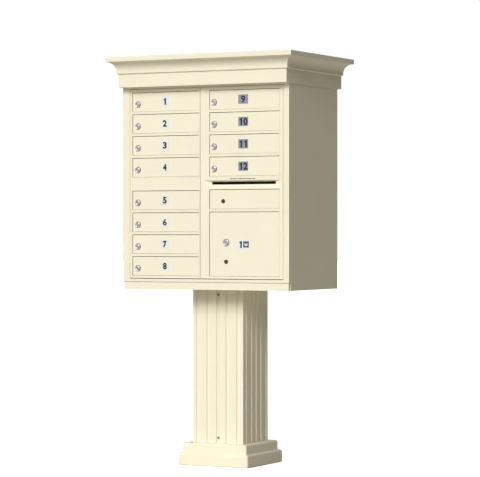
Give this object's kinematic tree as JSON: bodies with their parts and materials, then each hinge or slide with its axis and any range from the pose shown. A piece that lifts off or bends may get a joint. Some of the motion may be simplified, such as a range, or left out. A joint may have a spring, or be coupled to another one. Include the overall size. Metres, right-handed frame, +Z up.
{
  "type": "cluster mailbox unit",
  "caption": "Pedestal cluster mailbox with locking compartment doors in two hinged master doors, mail slot, parcel locker, moulded crown, fluted pillar and plinth.",
  "frame": {"origin": "on the ground under the middle of the unit", "axes": "+Z up, -Y out of the front with the doors, +X to the right of a person facing the front"},
  "size_m": [0.8628, 0.5992, 1.698],
  "materials": {
    "cream_paint": "satin powder coat",
    "mill_aluminium": "mill finish sheet",
    "plated_steel": "zinc plated",
    "lock_chrome": "satin chrome",
    "lock_brass": "aged brass",
    "label_ink": "matt",
    "label_plate": "matt"
  },
  "bodies": {
    "cabinet": {"crown_cap": "cream_paint", "cabinet_roof": "cream_paint", "left_side_panel": "cream_paint", "right_side_panel": "cream_paint", "back_panel": "cream_paint", "base_pan": "cream_paint", "front_frame": "cream_paint", "left_shelf_stack": "mill_aluminium", "right_shelf_stack": "mill_aluminium", "mail_chute": "mill_aluminium", "pedestal": "plated_steel", "pillar_cover": "cream_paint", "plinth_cover": "cream_paint"},
    "left_master": {"left_master_door": "cream_paint"},
    "right_master": {"right_master_door": "cream_paint"},
    "latch_bar": {"master_latch_bar": "plated_steel"},
    "tenant_1": {"tenant_door_1": "cream_paint", "tenant_lock_housing_1": "lock_chrome"},
    "tenant_cam_1": {"tenant_lock_cam_1": "lock_chrome"},
    "tenant_2": {"tenant_door_2": "cream_paint", "tenant_lock_housing_2": "lock_chrome"},
    "tenant_cam_2": {"tenant_lock_cam_2": "lock_chrome"},
    "tenant_3": {"tenant_door_3": "cream_paint", "tenant_lock_housing_3": "lock_chrome"},
    "tenant_cam_3": {"tenant_lock_cam_3": "lock_chrome"},
    "tenant_4": {"tenant_door_4": "cream_paint", "tenant_lock_housing_4": "lock_chrome"},
    "tenant_cam_4": {"tenant_lock_cam_4": "lock_chrome"},
    "tenant_5": {"tenant_door_5": "cream_paint", "tenant_lock_housing_5": "lock_chrome"},
    "tenant_cam_5": {"tenant_lock_cam_5": "lock_chrome"},
    "tenant_6": {"tenant_door_6": "cream_paint", "tenant_lock_housing_6": "lock_chrome"},
    "tenant_cam_6": {"tenant_lock_cam_6": "lock_chrome"},
    "tenant_7": {"tenant_door_7": "cream_paint", "tenant_lock_housing_7": "lock_chrome"},
    "tenant_cam_7": {"tenant_lock_cam_7": "lock_chrome"},
    "tenant_8": {"tenant_door_8": "cream_paint", "tenant_lock_housing_8": "lock_chrome"},
    "tenant_cam_8": {"tenant_lock_cam_8": "lock_chrome"},
    "tenant_9": {"tenant_door_9": "cream_paint", "tenant_lock_housing_9": "lock_chrome"},
    "tenant_cam_9": {"tenant_lock_cam_9": "lock_chrome"},
    "tenant_10": {"tenant_door_10": "cream_paint", "tenant_lock_housing_10": "lock_chrome"},
    "tenant_cam_10": {"tenant_lock_cam_10": "lock_chrome"},
    "tenant_11": {"tenant_door_11": "cream_paint", "tenant_lock_housing_11": "lock_chrome"},
    "tenant_cam_11": {"tenant_lock_cam_11": "lock_chrome"},
    "tenant_12": {"tenant_door_12": "cream_paint", "tenant_lock_housing_12": "lock_chrome"},
    "tenant_cam_12": {"tenant_lock_cam_12": "lock_chrome"},
    "parcel": {"parcel_door": "cream_paint", "parcel_lock_housing": "lock_chrome", "parcel_arrow_lock": "lock_brass"},
    "parcel_cam": {"parcel_lock_cam": "lock_chrome"},
    "parcel_bolt": {"parcel_arrow_bolt": "lock_brass"},
    "outgoing": {"outgoing_mail_door": "cream_paint", "outgoing_arrow_lock": "lock_brass"},
    "outgoing_bolt": {"outgoing_arrow_bolt": "lock_brass"}
  },
  "joints": [
    {"name": "left_master_hinge", "type": "hinge", "parent": "cabinet", "child": "left_master", "pos_m": [-0.3552, -0.2226, 1.17], "axis": [0, 0, -1], "range_deg": [0, 95]},
    {"name": "right_master_hinge", "type": "hinge", "parent": "cabinet", "child": "right_master", "pos_m": [0.3552, -0.2226, 1.17], "axis": [0, 0, 1], "range_deg": [0, 95]},
    {"name": "master_latch_slide", "type": "slide", "parent": "right_master", "child": "latch_bar", "axis": [0, 0, 1], "range_m": [0, 0.009]},
    {"name": "tenant_hinge_1", "type": "hinge", "parent": "left_master", "child": "tenant_1", "pos_m": [-0.0296, -0.2191, 1.512], "axis": [0, 0, 1], "range_deg": [0, 90]},
    {"name": "tenant_lock_turn_1", "type": "hinge", "parent": "tenant_1", "child": "tenant_cam_1", "pos_m": [-0.32, -0.2106, 1.502], "axis": [0, -1, 0], "range_deg": [0, 90]},
    {"name": "tenant_hinge_2", "type": "hinge", "parent": "left_master", "child": "tenant_2", "pos_m": [-0.0296, -0.2191, 1.421], "axis": [0, 0, 1], "range_deg": [0, 90]},
    {"name": "tenant_lock_turn_2", "type": "hinge", "parent": "tenant_2", "child": "tenant_cam_2", "pos_m": [-0.32, -0.2106, 1.411], "axis": [0, -1, 0], "range_deg": [0, 90]},
    {"name": "tenant_hinge_3", "type": "hinge", "parent": "left_master", "child": "tenant_3", "pos_m": [-0.0296, -0.2191, 1.33], "axis": [0, 0, 1], "range_deg": [0, 90]},
    {"name": "tenant_lock_turn_3", "type": "hinge", "parent": "tenant_3", "child": "tenant_cam_3", "pos_m": [-0.32, -0.2106, 1.32], "axis": [0, -1, 0], "range_deg": [0, 90]},
    {"name": "tenant_hinge_4", "type": "hinge", "parent": "left_master", "child": "tenant_4", "pos_m": [-0.0296, -0.2191, 1.239], "axis": [0, 0, 1], "range_deg": [0, 90]},
    {"name": "tenant_lock_turn_4", "type": "hinge", "parent": "tenant_4", "child": "tenant_cam_4", "pos_m": [-0.32, -0.2106, 1.229], "axis": [0, -1, 0], "range_deg": [0, 90]},
    {"name": "tenant_hinge_5", "type": "hinge", "parent": "left_master", "child": "tenant_5", "pos_m": [-0.0296, -0.2191, 1.1025], "axis": [0, 0, 1], "range_deg": [0, 90]},
    {"name": "tenant_lock_turn_5", "type": "hinge", "parent": "tenant_5", "child": "tenant_cam_5", "pos_m": [-0.32, -0.2106, 1.0925], "axis": [0, -1, 0], "range_deg": [0, 90]},
    {"name": "tenant_hinge_6", "type": "hinge", "parent": "left_master", "child": "tenant_6", "pos_m": [-0.0296, -0.2191, 1.0115], "axis": [0, 0, 1], "range_deg": [0, 90]},
    {"name": "tenant_lock_turn_6", "type": "hinge", "parent": "tenant_6", "child": "tenant_cam_6", "pos_m": [-0.32, -0.2106, 1.0015], "axis": [0, -1, 0], "range_deg": [0, 90]},
    {"name": "tenant_hinge_7", "type": "hinge", "parent": "left_master", "child": "tenant_7", "pos_m": [-0.0296, -0.2191, 0.9205], "axis": [0, 0, 1], "range_deg": [0, 90]},
    {"name": "tenant_lock_turn_7", "type": "hinge", "parent": "tenant_7", "child": "tenant_cam_7", "pos_m": [-0.32, -0.2106, 0.9105], "axis": [0, -1, 0], "range_deg": [0, 90]},
    {"name": "tenant_hinge_8", "type": "hinge", "parent": "left_master", "child": "tenant_8", "pos_m": [-0.0296, -0.2191, 0.8295], "axis": [0, 0, 1], "range_deg": [0, 90]},
    {"name": "tenant_lock_turn_8", "type": "hinge", "parent": "tenant_8", "child": "tenant_cam_8", "pos_m": [-0.32, -0.2106, 0.8195], "axis": [0, -1, 0], "range_deg": [0, 90]},
    {"name": "tenant_hinge_9", "type": "hinge", "parent": "right_master", "child": "tenant_9", "pos_m": [0.34, -0.2191, 1.512], "axis": [0, 0, 1], "range_deg": [0, 90]},
    {"name": "tenant_lock_turn_9", "type": "hinge", "parent": "tenant_9", "child": "tenant_cam_9", "pos_m": [0.0405, -0.2106, 1.502], "axis": [0, -1, 0], "range_deg": [0, 90]},
    {"name": "tenant_hinge_10", "type": "hinge", "parent": "right_master", "child": "tenant_10", "pos_m": [0.34, -0.2191, 1.421], "axis": [0, 0, 1], "range_deg": [0, 90]},
    {"name": "tenant_lock_turn_10", "type": "hinge", "parent": "tenant_10", "child": "tenant_cam_10", "pos_m": [0.0405, -0.2106, 1.411], "axis": [0, -1, 0], "range_deg": [0, 90]},
    {"name": "tenant_hinge_11", "type": "hinge", "parent": "right_master", "child": "tenant_11", "pos_m": [0.34, -0.2191, 1.33], "axis": [0, 0, 1], "range_deg": [0, 90]},
    {"name": "tenant_lock_turn_11", "type": "hinge", "parent": "tenant_11", "child": "tenant_cam_11", "pos_m": [0.0405, -0.2106, 1.32], "axis": [0, -1, 0], "range_deg": [0, 90]},
    {"name": "tenant_hinge_12", "type": "hinge", "parent": "right_master", "child": "tenant_12", "pos_m": [0.34, -0.2191, 1.239], "axis": [0, 0, 1], "range_deg": [0, 90]},
    {"name": "tenant_lock_turn_12", "type": "hinge", "parent": "tenant_12", "child": "tenant_cam_12", "pos_m": [0.0405, -0.2106, 1.229], "axis": [0, -1, 0], "range_deg": [0, 90]},
    {"name": "parcel_hinge", "type": "hinge", "parent": "right_master", "child": "parcel", "pos_m": [0.34, -0.2191, 0.92], "axis": [0, 0, 1], "range_deg": [0, 90]},
    {"name": "parcel_lock_turn", "type": "hinge", "parent": "parcel", "child": "parcel_cam", "pos_m": [0.096, -0.2106, 0.927], "axis": [0, -1, 0], "range_deg": [0, 90]},
    {"name": "parcel_bolt_slide", "type": "slide", "parent": "parcel", "child": "parcel_bolt", "axis": [-1, 0, 0], "range_m": [0, 0.013]},
    {"name": "outgoing_hinge", "type": "hinge", "parent": "right_master", "child": "outgoing", "pos_m": [0.34, -0.2191, 1.104], "axis": [0, 0, 1], "range_deg": [0, 90]},
    {"name": "outgoing_bolt_slide", "type": "slide", "parent": "outgoing", "child": "outgoing_bolt", "axis": [-1, 0, 0], "range_m": [0, 0.013]}
  ]
}
